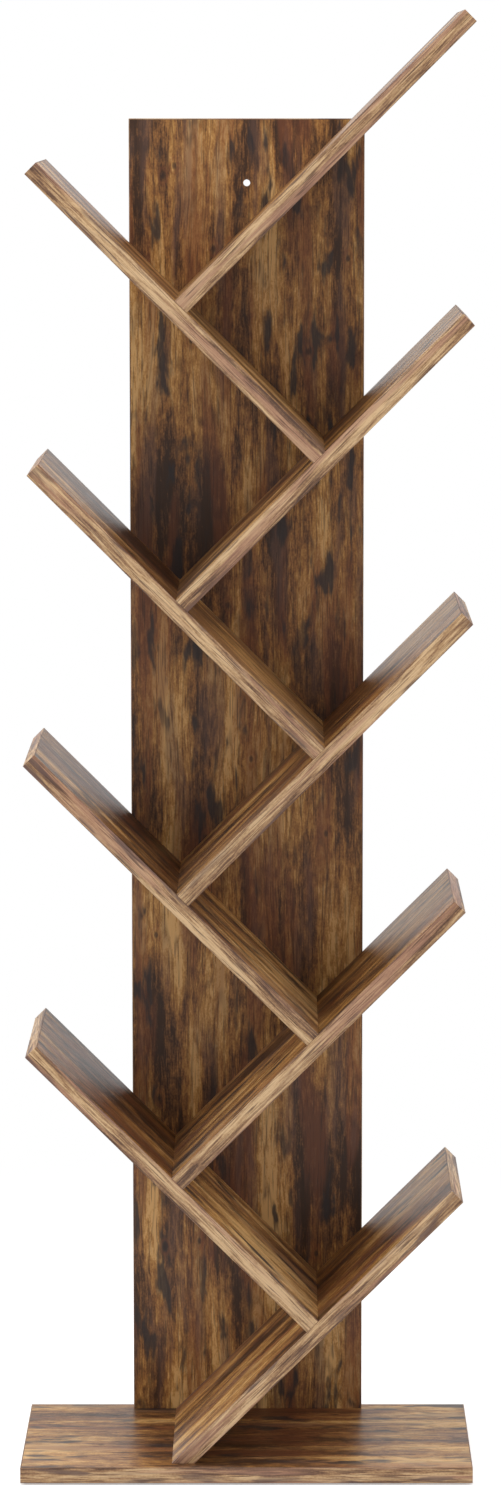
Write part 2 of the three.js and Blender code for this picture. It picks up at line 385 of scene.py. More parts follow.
def noise(place, length, width, detail=2.0, rough=0.5, shift=0.0, warp=0.0):
    """Noise drawn out to streaks of a length and a width, in metres."""
    moved = calc_point("ADD", place, (shift, shift * SIDE_SHIFT, 0.0))
    scaled = calc_point("DIVIDE", moved, point(length, width, 1.0))
    feeds = {"Vector": scaled, "Scale": 1.0, "Detail": detail, "Roughness": rough, "Distortion": warp}
    return put("ShaderNodeTexNoise", feeds, noise_dimensions="2D")


def between(value, low, high, first=0.0, last=1.0):
    """A soft step: first under low, last over high."""
    feeds = {"Value": value, "From Min": low, "From Max": high, "To Min": first, "To Max": last}
    return put("ShaderNodeMapRange", feeds, interpolation_type="SMOOTHSTEP")


def full_swing(mask, first=0.0, last=1.0):
    """Noise mostly stays inside a narrow span. This stretches that span from first to last."""
    return between(mask, *NOISE_SPAN, first, last)


def swings(total, shares):
    """Adds to total how far each mask is from its middle, times its share."""
    for mask, share in shares:
        total = (mask - NOISE_MIDDLE) * share + total
    return total


# %% Build the wood pattern
PRINT_LAYERS = {
    "zone": (0.22, "Zone Width", 1.0, 2.0, 0.50, 3.1),
    "red": (0.26, "Zone Width", 0.8, 2.0, 0.50, 11.3),
    "mauve": (0.20, "Zone Width", 0.7, 2.0, 0.55, 17.9),
    "strip": (0.60, "Zone Width", 1.2, 1.0, 0.50, 23.3),
    "growth": (0.50, "Zone Width", 1.4, 2.0, 0.40, 41.7),
    "streak": ("Streak Length", "Streak Width", 1.0, 3.0, 0.60, 7.7),
    "blotch": (0.060, "Streak Width", 2.8, 3.0, 0.50, 29.1, 0.2),
    "fleck": ("Fleck Length", "Streak Width", 0.8, 3.0, 0.62, 1.3, 0.3),
    "fibre": ("Fleck Length", "Fibre Width", 1.0, 2.0, 0.60, 5.9),
    "lines": (0.05, "Fibre Width", 1.4, 1.0, 0.50, 31.7),
    "grit": (0.0024, "Grit Width", 1.0, 1.0, 0.50, 37.1),
}
PRINT_MASKS = {"Red": ("red", 0.50, 0.66), "Mauve": ("mauve", 0.53, 0.70), "Lines": ("lines", 0.60, 0.70)}
WAVE_LENGTH, WAVE_WIDTH = 0.24, 0.055
STREAK_SHARE, FIBRE_SHARE, GRIT_SHARE = 0.62, 0.48, 0.22
TONE_SPAN = (0.12, 0.88)
STREAK_FRAY, FIBRE_FRAY = 0.35, 0.12
CHAR_SOFTNESS = 0.16
CHARRED_STRIPS = (0.37, 0.53)
RING_COUNT = 13.0
RING_LINE = (0.36, 0.48)

takes = {
    "Vector": POINT, "Zone Width": 0.034, "Streak Width": 0.0060, "Streak Length": 0.09,
    "Fibre Width": 0.0014, "Grit Width": 0.0015, "Wave": 0.010, "Fleck Length": 0.014,
    "Char From": 0.53, "Zone Share": 1.75, "Fleck Share": 0.58,
}
gives = dict.fromkeys(("Tone", "Red", "Mauve", "Char", "Lines", "Figure", "Fibre"), FLOAT)
WOOD_PRINT, given, out = new_group("reclaimed wood print", "ShaderNodeTree", takes, gives)
along, across, _ = coordinates(given["Vector"])
wave = noise(given["Vector"], WAVE_LENGTH, WAVE_WIDTH, detail=1.0) - NOISE_MIDDLE
sheet = point(along, across + wave * given["Wave"])
layer = {}
for name, (length, width, share, *rest) in PRINT_LAYERS.items():
    layer[name] = noise(sheet, given.get(length, length), given[width] * share, *rest)

tone = swings(NOISE_MIDDLE, [
    (layer["zone"], given["Zone Share"]), (layer["streak"], STREAK_SHARE),
    (layer["fleck"], given["Fleck Share"]), (layer["fibre"], FIBRE_SHARE), (layer["grit"], GRIT_SHARE),
])
frayed = swings(layer["blotch"], [(layer["streak"], STREAK_FRAY), (layer["fibre"], FIBRE_FRAY)])
charred = between(frayed, given["Char From"], given["Char From"] + CHAR_SOFTNESS)
rings = calc("PINGPONG", layer["growth"] * RING_COUNT, 0.5)
feed(out, {label: between(layer[name], low, high) for label, (name, low, high) in PRINT_MASKS.items()})
feed(out, {
    "Tone": between(tone, *TONE_SPAN), "Char": charred * between(layer["strip"], *CHARRED_STRIPS),
    "Figure": between(rings, *RING_LINE), "Fibre": layer["fibre"],
})
print("the wood pattern has", len(WOOD_PRINT.nodes), "nodes")

# %% [markdown]
# Small ring knots break up the streaks. They could be part of the print, but the narrow edge bands show none,
# so they are a group of their own. Cells scattered over the sheet each have a middle, and in a few of them
# the distance from it draws an oval with a dark core and a paler ring.

# %% Build the knots
KNOT_SQUASH = 0.55
CORE_EDGE = (0.02, 0.06)
RING_EDGES = (0.05, 0.09, 0.14)

takes = {"Vector": POINT, "Spacing": 0.085, "Share": 0.30}
RING_KNOTS, given, out = new_group("ring knots", "ShaderNodeTree", takes, {"Core": FLOAT, "Ring": FLOAT})
cell = point(given["Spacing"], given["Spacing"] * KNOT_SQUASH, 1.0)
feeds = {"Vector": calc_point("DIVIDE", given["Vector"], cell), "Scale": 1.0}
cells = wires(add("ShaderNodeTexVoronoi", feeds, voronoi_dimensions="2D"))
lot, _, _ = coordinates(cells["Color"])
chosen = lot < given["Share"]
away = cells["Distance"]
inner, peak, outer = RING_EDGES
core = between(away, *CORE_EDGE, 1.0, 0.0)
ring = between(away, inner, peak) * between(away, peak, outer, 1.0, 0.0)
feed(out, {"Core": core * chosen, "Ring": ring * chosen})
print("the knots have", len(RING_KNOTS.nodes), "nodes")

# %% [markdown]
# ## The laminate on the faces
#
# The face of each board is a paper printed with wood and pressed into a hard clear resin. That makes it
# satin: from a flat angle it mirrors the bright room softly, which is why the branches' upper faces turn pale
# where they leave the trunk. A painted highlight would stay put when the camera moves, so the sheen is left
# to the shader's own Fresnel and a roughness near 0.4. The press leaves shallow pores, so the fibre mask also
# feeds a Bump node. The tones come from the colour ramp, and each row of the table mixes one more colour over
# them by a mask and a share.

# %% Make the face laminate
RESIN_IOR = 1.36
LINE_DEPTH = 0.6
FACE_LAYERS = [
    ("Red", 0.55, RED_BROWN), ("Mauve", 0.45, MAUVE), ("Char", 0.90, CHARCOAL), ("Lines", 0.50, UMBER_LINE),
    ("Figure", 0.30, UMBER_LINE),
]
KNOT_LAYERS = [("Core", 0.75, UMBER_LINE), ("Ring", 0.35, RED_BROWN)]


def new_material(name, constants):
    """Starts a material with a Principled shader. The constants go on its own sockets."""
    material = bpy.data.materials.new(name)
    material.use_nodes = True
    BENCH.append(material.node_tree)
    shader = material.node_tree.nodes["Principled BSDF"]
    feed(shader.inputs, constants)
    return material, shader


def ramp(value, tones):
    """A colour ramp over named tones."""
    node = add("ShaderNodeValToRGB", {0: value})
    elements = node.color_ramp.elements
    while len(elements) < len(tones):
        elements.new(0.5)
    for element, (place, colour) in zip(elements, sorted(tones.items())):
        element.position = place
        element.color = colour
    return Wire(node.outputs[0])


def mix(share, first, second):
    """Two colours mixed by a share."""
    return put("ShaderNodeMix", {0: share, 6: first, 7: second}, output=2, data_type="RGBA")


def layered(colour, masks, layers):
    """Mixes further colours over the first, each by a mask and a share."""
    for mask, share, tone in layers:
        colour = mix(masks[mask] * share, colour, tone)
    return colour


def bump(height, depth):
    """A Bump node's normal for a height mask and a real depth in metres."""
    return put("ShaderNodeBump", {"Height": height, "Distance": depth, "Strength": 1.0})


def printed(tones, layers, widths):
    """The wood print on the piece's grain, in these tones. Gives its colour, its masks and the grain."""
    grain = put("ShaderNodeAttribute", output="Vector", attribute_name="grain")
    masks = wires(add("ShaderNodeGroup", {"Vector": grain, **widths}, node_tree=WOOD_PRINT))
    return layered(ramp(masks["Tone"], tones), masks, layers), masks, grain


def fibred(masks, rough, smooth, depth):
    """The fibres' gloss and relief: pale fibres lie higher and shine more."""
    height = masks["Fibre"] - masks["Lines"] * LINE_DEPTH
    return {"Roughness": full_swing(masks["Fibre"], rough, smooth), "Normal": bump(height, depth)}


FACE_LAMINATE, shader = new_material("face laminate", {"IOR": RESIN_IOR})
colour, masks, grain = printed(FACE_TONES, FACE_LAYERS, {})
knots = wires(add("ShaderNodeGroup", {"Vector": grain}, node_tree=RING_KNOTS))
feed(shader.inputs, {"Base Color": layered(colour, knots, KNOT_LAYERS)})
feed(shader.inputs, fibred(masks, rough=0.42, smooth=0.32, depth=0.05 * MM))
print("made", FACE_LAMINATE.name)

# %% [markdown]
# ## The edge band
#
# The band is a strip one millimetre thick, paler than the faces and lined along its length, with pinkish
# patches, a few mauve smudges and short dark strokes. It could have a pattern of its own, but it is the same
# print at a smaller scale, so it orders the group with other widths and shares. Its edges are trimmed flush
# after it is glued, and the cut plastic shows as a fine darker rim along each arris. The third coordinate of
# the grain, the depth in the board, says how near an arris a point is.

# %% Make the edge band's finish
BAND_WIDTHS = {
    "Zone Width": 0.014, "Streak Width": 0.0028, "Streak Length": 0.05, "Fibre Width": 0.0009, "Wave": 0.004,
    "Fleck Length": 0.030, "Char From": 0.50, "Zone Share": 1.25, "Fleck Share": 0.95,
}
BAND_LAYERS = [
    ("Red", 0.60, BAND_PINK), ("Char", 0.85, BAND_MAUVE), ("Lines", 0.75, BAND_STROKE),
    ("Figure", 0.25, MAUVE),
]
RIM_INNER, RIM_OUTER = 0.6 * MM, 0.1 * MM
RIM_SHARE = 0.45

EDGE_BAND_PRINT, shader = new_material("edge band print", {"IOR": RESIN_IOR})
colour, masks, grain = printed(BAND_TONES, BAND_LAYERS, BAND_WIDTHS)
_, _, height = coordinates(grain)
rim = between(abs(height + BOARD / 2), BOARD / 2 - RIM_INNER, BOARD / 2 - RIM_OUTER)
feed(shader.inputs, {"Base Color": mix(rim * RIM_SHARE, colour, MAUVE)})
feed(shader.inputs, fibred(masks, rough=0.50, smooth=0.40, depth=0.04 * MM))
print("made", EDGE_BAND_PRINT.name)

# %% [markdown]
# ## Chipboard, zinc, beech and felt
#
# These four show only at the back, underneath or inside a hole. Chipboard is pressed flakes in several tans,
# each a little raised. The screws are bright bluish zinc with faint dull clouds, the beech dowels are pale
# with short brown flecks, and the glides are dark felt with loose fibres. A pattern laid on the surface would
# show seams, so theirs go right through the piece, on Object coordinates, as the real material does.

# %% Make the other finishes
FLAKE_TONES = {
    0.0: seen(128, 96, 62), 0.4: seen(168, 133, 92), 0.7: seen(196, 164, 120), 1.0: seen(222, 196, 154),
}
ZINC_TONES = {0.0: seen(150, 152, 155), 0.5: seen(186, 188, 190), 1.0: seen(208, 209, 206)}
BEECH_TONES = {0.0: seen(176, 138, 98), 0.5: seen(212, 178, 134), 1.0: seen(228, 200, 160)}
FELT_TONES = {0.0: seen(34, 31, 29), 0.5: seen(58, 54, 50), 1.0: seen(92, 86, 80)}
FLAKES_PER_METRE = 420.0
CLOUD = (4 * MM, 4 * MM, 4 * MM)
PLATING_GRAIN = (0.4 * MM, 0.4 * MM, 0.4 * MM)
BEECH_FLECK = (0.5 * MM, 0.5 * MM, 6 * MM)
FELT_FIBRE = (0.7 * MM, 0.7 * MM, 0.3 * MM)


def solid_noise(fleck, detail=2.0, rough=0.5):
    """Noise through the piece, in flecks of the given size along X, Y and Z."""
    place = calc_point("DIVIDE", put("ShaderNodeTexCoord", output="Object"), fleck)
    return put("ShaderNodeTexNoise", {"Vector": place, "Scale": 1.0, "Detail": detail, "Roughness": rough})


CHIPBOARD, shader = new_material("chipboard core", {"Roughness": 0.9})
feeds = {"Vector": put("ShaderNodeTexCoord", output="Object"), "Scale": FLAKES_PER_METRE}
tone, _, _ = coordinates(put("ShaderNodeTexVoronoi", feeds, output="Color"))
feed(shader.inputs, {"Base Color": ramp(tone, FLAKE_TONES), "Normal": bump(tone, 0.2 * MM)})

ZINC, shader = new_material("zinc plating", {"Metallic": 1.0})
clouds = solid_noise(CLOUD, 4.0, 0.6)
feed(shader.inputs, {
    "Base Color": ramp(full_swing(clouds), ZINC_TONES), "Roughness": full_swing(clouds, 0.40, 0.24),
    "Normal": bump(solid_noise(PLATING_GRAIN), 0.01 * MM),
})


def fibrous(name, constants, tones, fibre, detail, rough, depth):
    """A finish of fibres or flecks in these tones, with a relief of that depth."""
    material, shader = new_material(name, constants)
    fibres = solid_noise(fibre, detail, rough)
    feed(shader.inputs, {"Base Color": ramp(full_swing(fibres), tones), "Normal": bump(fibres, depth)})
    return material


BEECH = fibrous("beech", {"Roughness": 0.6}, BEECH_TONES, BEECH_FLECK, 3.0, 0.6, 0.05 * MM)
FELT_LOOKS = {"Roughness": 0.95, "Sheen Weight": 0.35}
FELT = fibrous("felt", FELT_LOOKS, FELT_TONES, FELT_FIBRE, 5.0, 0.7, 0.25 * MM)
print("made", [m.name for m in (CHIPBOARD, ZINC, BEECH, FELT)])

# %% [markdown]
# ## From a node tree to a piece
#
# A shape tree runs as a modifier on an empty host object. `order` sets its inputs by their identifiers before
# Blender evaluates it, `bored` cuts the board's bores, and `made_plain` takes the result as a plain mesh, so
# that nothing live is left on the piece. One Boolean for each bore would work too, but a single cutting mesh
# is faster and leaves fewer chances for a sliver. The cutter carries the chipboard finish into each hole.

# %% Helpers that run a shape tree
BORE_SIDES = 32
SHARP_ANGLE = math.radians(20)
CUBIC_CM = 1e6


def new_object(name, data):
    """An object in the scene."""
    thing = bpy.data.objects.new(name, data)
    bpy.context.scene.collection.objects.link(thing)
    return thing


def order(tree, name, sizes, mesh=None):
    """A host object whose modifier runs the shape tree with these sizes."""
    host = new_object(name, mesh or bpy.data.meshes.new(name))
    modifier = host.modifiers.new("shape", "NODES")
    modifier.node_group = tree
    for item in tree.interface.items_tree:
        if item.in_out == "INPUT" and item.name in sizes:
            modifier[item.identifier] = sizes[item.name]
    return host


def turned_cutter(bores):
    """One mesh of turned solids, each from a profile of (radius, depth) and its place."""
    form = bmesh.new()
    turns = [2 * math.pi * i / BORE_SIDES for i in range(BORE_SIDES)]
    for profile, place in bores:
        rings = []
        for radius, depth in profile:
            ring = [Vector((radius * math.cos(turn), radius * math.sin(turn), depth)) for turn in turns]
            rings.append([form.verts.new(place @ corner) for corner in ring])
        form.faces.new(reversed(rings[0]))
        form.faces.new(rings[-1])
        for low, high in zip(rings, rings[1:]):
            for i in range(BORE_SIDES):
                j = (i + 1) % BORE_SIDES
                form.faces.new((low[i], low[j], high[j], high[i]))
    mesh = bpy.data.meshes.new("bores")
    form.to_mesh(mesh)
    form.free()
    mesh.materials.append(CHIPBOARD)
    return mesh


def bored(host, bores):
    """Cuts the bores out of the host."""
    cutter = new_object("bores", turned_cutter(bores))
    modifier = host.modifiers.new("bores", "BOOLEAN")
    modifier.operation, modifier.solver, modifier.object = "DIFFERENCE", "EXACT", cutter
    modifier.material_mode = "TRANSFER"
    return cutter


def made_plain(host, name, cutter=None):
    """The evaluated host as a plain mesh in a new object. The host and its cutter are deleted."""
    graph = bpy.context.evaluated_depsgraph_get()
    evaluated = host.evaluated_get(graph)
    mesh = bpy.data.meshes.new_from_object(evaluated, preserve_all_data_layers=True, depsgraph=graph)
    mesh.name = name
    if mesh.materials[0] is None:
        mesh.materials.pop(index=0)
    for helper in filter(None, (host, cutter)):
        bpy.data.objects.remove(helper)
    mesh.shade_smooth()
    mesh.set_sharp_from_angle(angle=SHARP_ANGLE)
    return new_object(name, mesh)


def softened(tree, name, sizes, bevel, bores):
    """A piece from a tree, its edges softened by a bevel of (width, segments, limit), and its bores cut."""
    host = order(tree, name, sizes)
    modifier = host.modifiers.new("arris", "BEVEL")
    modifier.width, modifier.segments, modifier.limit_method = bevel
    return made_plain(host, name, bored(host, bores) if bores else None)


def handed_over(piece, slot, *nodes):
    """Ties a piece to the frame, and prints its size and whether it is closed and turned outwards."""
    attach(piece, "root")
    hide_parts(*nodes)
    form = bmesh.new()
    form.from_mesh(piece.data)
    open_edges = sum(len(edge.link_faces) != 2 for edge in form.edges)
    volume = form.calc_volume(signed=True) * CUBIC_CM
    triangles = sum(len(face.verts) - 2 for face in form.faces)
    form.free()
    print(f"{piece.name}: {triangles} triangles, {volume:.1f} cm3, {open_edges} open edges")


# %% [markdown]
# ## One tree for all the boards
#
# Eleven slabs differ in length, width, place and in how the low end is cut. A cube that is scaled by hand
# would do for one of them, but this is a rule, so one Geometry Nodes tree makes them all: a box, moved so
# that its low end is at the origin and its face lies on the ground plane, with the lower corners of the low
# end drawn back by the slant. The first branch needs that, because it stands on the base and is mitred level.
# The tree gives the cut edges chipboard and the two faces laminate, and turns the slab into place. A Bevel
# takes the sharpness off.

# %% Build the board tree
SLAB = {
    "Length": 0.4, "Width": 0.2, "Thickness": 0.016, "Foot Slant": 0.0, "Place": POINT, "Turn": POINT,
    "Finish": MATERIAL,
}
FACES_UP = 0.9


def set_finish(geometry, material, **selection):
    """Gives a finish to a shape, or to its selected faces."""
    return put("GeometryNodeSetMaterial", {"Geometry": geometry, "Material": material, **selection})


def put_in_place(given, geometry):
    """Turns and moves a shape as ordered, and makes it real."""
    turn = put("FunctionNodeEulerToRotation", {0: given["Turn"]})
    feeds = {"Geometry": geometry, "Translation": given["Place"], "Rotation": turn}
    return put("GeometryNodeRealizeInstances", {0: put("GeometryNodeTransform", feeds)})


takes = {**SLAB, "Core": MATERIAL}
BOARD_TREE, given, out = new_group("laminated board", "GeometryNodeTree", takes, {"Board": GEOMETRY})
length, thickness = given["Length"], given["Thickness"]
box = put("GeometryNodeMeshCube", {"Size": point(length, given["Width"], thickness)})
x, _, z = coordinates(put("GeometryNodeInputPosition"))
low_corner = (x < 0.0) * (z < 0.0)
shift = point(low_corner * given["Foot Slant"] + length * 0.5, 0.0, thickness * -0.5)
slab = put("GeometryNodeSetPosition", {"Geometry": box, "Offset": shift})
_, _, upright = coordinates(put("GeometryNodeInputNormal"))
faced = set_finish(slab, given["Finish"])
cored = set_finish(faced, given["Core"], Selection=abs(upright) < FACES_UP)
feed(out, {"Board": put_in_place(given, cored)})
print("the board tree has", len(BOARD_TREE.nodes), "nodes")

# %% [markdown]
# ## Laying the grain
#
# The print runs along each board, whichever way it leans. Object coordinates would send the grain of every
# board the same way, so each mesh keeps an attribute named *grain* instead: the point in the board's own
# directions, moved to the part of the printed sheet that the board was cut from. One finish then serves every
# board, and the thickness moves the point too, so that a board's two faces differ. The places were chosen
# like planks in a timber yard: the pattern was searched for spots whose light and dark zones fall as they do
# on that board in the photo.

# %% Lay the grain on a board
UNDER_FACE_SHIFT = 40.0

SHEET_PLACES = {
    "base": (9.124, 4.124), "trunk": (4.688, 3.477), "right_1": (6.768, 7.033), "left_1": (5.956, 2.441),
    "right_2": (0.604, 2.245), "left_2": (9.304, 3.029), "right_3": (12.696, 1.857), "left_3": (9.064, 1.577),
    "right_4": (4.768, 4.905), "left_4": (10.104, 7.497), "right_5": (12.910, 1.670),
}


def lay_grain(piece, board, sheet_point):
    """Writes the grain attribute. sheet_point gives it from a face's middle and one of its corners."""
    mesh = piece.data
    back = board.place.inverted()
    layer = mesh.attributes.new("grain", "FLOAT_VECTOR", "CORNER")
    local = [back @ vertex.co for vertex in mesh.vertices]
    for polygon in mesh.polygons:
        centre = back @ polygon.center
        for loop in polygon.loop_indices:
            layer.data[loop].vector = sheet_point(centre, local[mesh.loops[loop].vertex_index])


def on_face(board):
    """Sheet points for a board's faces."""
    start, side = SHEET_PLACES[board.name]
    return lambda _, p: (p.x + start + UNDER_FACE_SHIFT * p.z, p.y + side, p.z)


# %% [markdown]
# Now the boards themselves. The bevel at a board's edges is only a tenth of a millimetre: the band is glued
# there, and the two bevels leave the hairline of a glued joint. It would come out in raw chipboard, a pale
# dotted line on a dark board. On the real board the print reaches the cut, so `skinned` gives it the
# laminate.

# %% Make the boards
GLUE_LINE = 0.12 * MM


def skinned(piece, board):
    """Gives the laminate to all that lies within the bevel's depth of a face."""
    skin = piece.data.materials.find(FACE_LAMINATE.name)
    back = board.place.inverted()
    for polygon in piece.data.polygons:
        depth = -(back @ polygon.center).z
        if min(depth, BOARD - depth) < GLUE_LINE:
            polygon.material_index = skin


def make_board(board, node):
    sizes = {**board.sizes(FACE_LAMINATE), "Core": CHIPBOARD}
    piece = softened(BOARD_TREE, f"panel_{board.name}", sizes, (GLUE_LINE, 1, "ANGLE"), board.bores)
    skinned(piece, board)
    lay_grain(piece, board, on_face(board))
    handed_over(piece, "rustic_board", node)


make_board(base, "base_board")
make_board(trunk, "trunk_board")
for branch in branches:
    make_board(branch, f"branch_{branch.name}")

# %% [markdown]
# ## One tree for all the edge bands
#
# A band is one strip along each side and one over the free end, and on the base, which has no hidden end, one
# at the low end too. A single ring round the board would be simpler, but it would hide how the work is done:
# the strips butt at the corners, long ones over short ones, as an edge bander leaves them. Only the outer
# arrises are rounded, so the tree writes a bevel weight on each edge: full on those that lie on the outside,
# and slight where strips or board meet. Each band has its own place on the printed roll, and its two sides
# come from different lengths of it.

# %% Build the edge band tree
SLIGHT = 0.2
NEARLY = 0.01 * MM

takes = {**SLAB, "Band": 0.001, "Banded Foot": 0.0, "Butt Gap": 0.04 * MM}
EDGE_BAND_TREE, given, out = new_group("edge band", "GeometryNodeTree", takes, {"Strips": GEOMETRY})
length, width, thickness = given["Length"], given["Width"], given["Thickness"]
band, foot = given["Band"], given["Banded Foot"]
half, below = width * 0.5, thickness * -0.5


def strip(size, x, y=0.0):
    box = put("GeometryNodeMeshCube", {"Size": size})
    return put("GeometryNodeTransform", {"Geometry": box, "Translation": point(x, y, below)})


long_run = band * (foot + 1.0) + length
long_middle = long_run * 0.5 + band * foot * -1.0
long_size = point(long_run, band, thickness)
one_side = band * 0.5 + half
end_size = point(band, width - given["Butt Gap"], thickness)
foot_feeds = {"Switch": foot, "True": strip(end_size, band * -0.5)}
foot_strip = put("GeometryNodeSwitch", foot_feeds, input_type="GEOMETRY")
join = add("GeometryNodeJoinGeometry")
for piece in (strip(long_size, long_middle, one_side), strip(long_size, long_middle, one_side * -1.0),
              strip(end_size, band * 0.5 + length), foot_strip):
    feed(join.inputs, {0: piece})

x, _, z = coordinates(put("GeometryNodeInputPosition"))
low_corner = (x < length * 0.5) * (z < below)
slant = point(low_corner * given["Foot Slant"])
cut = put("GeometryNodeSetPosition", {"Geometry": Wire(join.outputs[0]), "Offset": slant})

outside_across = half + band - NEARLY
outside_along = length + band - NEARLY
outside_foot = band * -1.0 + NEARLY
ends = wires(add("GeometryNodeInputMeshEdgeVertices"))
on_side, on_end, heights = 1.0, 1.0, []
for corner in (ends["Position 1"], ends["Position 2"]):
    x, y, z = coordinates(corner)
    before = (x < outside_foot) * foot
    on_side = (abs(y) > outside_across) * on_side
    on_end = calc("MAXIMUM", x > outside_along, before) * on_end
    heights.append(z)
stands = abs(heights[0] - heights[1]) > NEARLY
lying = calc("MAXIMUM", on_side, on_end) * calc("SUBTRACT", 1.0, stands)
standing = on_side * on_end * stands
feeds = {"Geometry": cut, "Name": "bevel_weight_edge", "Value": calc("MAXIMUM", lying + standing, SLIGHT)}
weighed = put("GeometryNodeStoreNamedAttribute", feeds, data_type="FLOAT", domain="EDGE")
feed(out, {"Strips": set_finish(put_in_place(given, weighed), given["Finish"])})
print("the edge band tree has", len(EDGE_BAND_TREE.nodes), "nodes")

# %% Make the edge bands
ARRIS = (0.5 * MM, 3, "WEIGHT")
END_STRIP_SHIFT = 1.0
OTHER_SIDE_SHIFT = 0.5

BAND_PLACES = {
    "base": (12.200, 0.688), "trunk": (3.200, 0.850), "right_1": (5.248, 0.806), "left_1": (8.756, 0.854),
    "right_2": (2.630, 0.084), "left_2": (11.922, 0.748), "right_3": (10.124, 0.320),
    "left_3": (10.892, 0.896), "right_4": (10.400, 0.502), "left_4": (1.090, 0.102),
    "right_5": (4.456, 0.360),
}


def on_band(board):
    """Sheet points for a band: along the strip and over its height."""
    start, side = BAND_PLACES[board.name]

    def sheet(centre, p):
        is_side = abs(centre.y) > board.width / 2
        run = p.x if is_side else p.y + END_STRIP_SHIFT
        return (run + start + (OTHER_SIDE_SHIFT if centre.y > 0 else 0.0), p.z + side, p.z)
    return sheet


def make_band(board, node, bores=()):
    sizes = {**board.sizes(EDGE_BAND_PRINT), "Band": BAND, "Banded Foot": float(board.banded_foot)}
    piece = softened(EDGE_BAND_TREE, f"banding_{board.name}", sizes, ARRIS, bores)
    lay_grain(piece, board, on_band(board))
    handed_over(piece, "rustic_band", node)


make_band(base, "base_edge_band")
make_band(trunk, "trunk_edge_band")
for branch in branches:
    rear_bores = [(screw_bore, pointing(head, aim)) for head, aim, joined in screws.values()
                  if trunk in joined and branch in joined]
    make_band(branch, f"edge_band_{branch.name}", rear_bores)

# %% [markdown]
# ## Turned pieces: screws, dowels and glides
#
# All three are round about an axis. A Screw modifier on an outline would turn them too, but it can't make a
# socket with six sides or a thread, so a flat grid is rolled up instead. Its columns become the directions
# round the axis and its rows become rings, and an Index Switch looks up each ring's radius and depth. Merging
# points that meet closes the seam and the two poles. `set_out` then puts a copy on each ordered place, a bare
# point that carries an aim.

# %% Roll a grid into a turned shape
MEETING = 0.001 * MM


def look_up(entry, column):
    """The value of a column at an entry."""
    switch = add("GeometryNodeIndexSwitch", data_type="FLOAT")
    while len(switch.index_switch_items) < len(column):
        switch.index_switch_items.new()
    feed(switch.inputs, dict(enumerate([entry, *column])))
    return Wire(switch.outputs[0])


def rolled(rings, sides, outline, entry_of=lambda row: row):
    """A closed turned shape. entry_of(row) picks one of the (radius, depth) pairs of outline(angle, row)."""
    feeds = {"Size X": 1.0, "Size Y": 1.0, "Vertices X": sides + 1, "Vertices Y": rings}
    grid = put("GeometryNodeMeshGrid", feeds)
    x, y, _ = coordinates(put("GeometryNodeInputPosition"))
    angle = (x + 0.5) * (2 * math.pi)
    row = calc("ROUND", (y + 0.5) * (rings - 1))
    entry = entry_of(row)
    radius, depth = [look_up(entry, column) for column in zip(*outline(angle, row))]
    place = point(radius * calc("COSINE", angle), radius * calc("SINE", angle), depth)
    shaped = put("GeometryNodeSetPosition", {"Geometry": grid, "Position": place})
    return put("GeometryNodeMergeByDistance", {"Geometry": shaped, "Distance": MEETING})


def set_out(given, shape, roll=None):
    """Copies of a shape on the ordered places, with +Z along each place's aim, in the ordered finish."""
    aim = put("GeometryNodeInputNamedAttribute", {"Name": "aim"}, data_type="FLOAT_VECTOR")
    turn = put("FunctionNodeAlignRotationToVector", {"Vector": aim}, axis="Z")
    if roll is not None:
        spin = put("FunctionNodeEulerToRotation", {0: point(0.0, 0.0, roll)})
        turn = put("FunctionNodeRotateRotation", {0: turn, 1: spin}, rotation_space="LOCAL")
    feeds = {"Points": given["Places"], "Instance": shape, "Rotation": turn}
    copies = put("GeometryNodeInstanceOnPoints", feeds)
    return set_finish(put("GeometryNodeRealizeInstances", {0: copies}), given["Finish"])


def make_turned(tree, name, spots, sizes, slot, nodes):
    """Runs a tree on a mesh of bare points, each with an aim, and hands the copies over as one piece."""
    mesh = bpy.data.meshes.new(f"{name}_places")
    mesh.from_pydata([spot for spot, _ in spots], [], [])
    aims = mesh.attributes.new("aim", "FLOAT_VECTOR", "POINT")
    for i, (_, aim) in enumerate(spots):
        aims.data[i].vector = aim
    handed_over(made_plain(order(tree, f"{name}_places", sizes, mesh), name), slot, *nodes)


# %% [markdown]
# ## Connecting screws
#
# The screw is the common one for chipboard furniture: a countersunk head with a hexagon socket, a short
# smooth shank, and a coarse thread that ends in a blunt tip. A plain pin would hardly differ from behind, but
# the part may be taken apart, so the thread is real. Its rings run from the socket's floor over head, cone,
# shank and thread to the tip. On the thread the radius swings between core and crest, by how far the point is
# round the helix, and in the socket it follows a hexagon. Every screw came to rest at its own turn, so a
# random roll with a fixed seed turns each copy.

# %% Build the screw tree
HEAD_ROWS = 9
SCREW_SIDES = 24
SIXTH = math.pi / 3
CREST = (0.18, 0.5)
RUN_IN_ROWS = 5.0
HEAD_ARRIS, HEAD_ARRIS_DROP = 0.15 * MM, 0.1 * MM
SHANK_STEP, THREAD_STEP = 0.2 * MM, 0.3 * MM

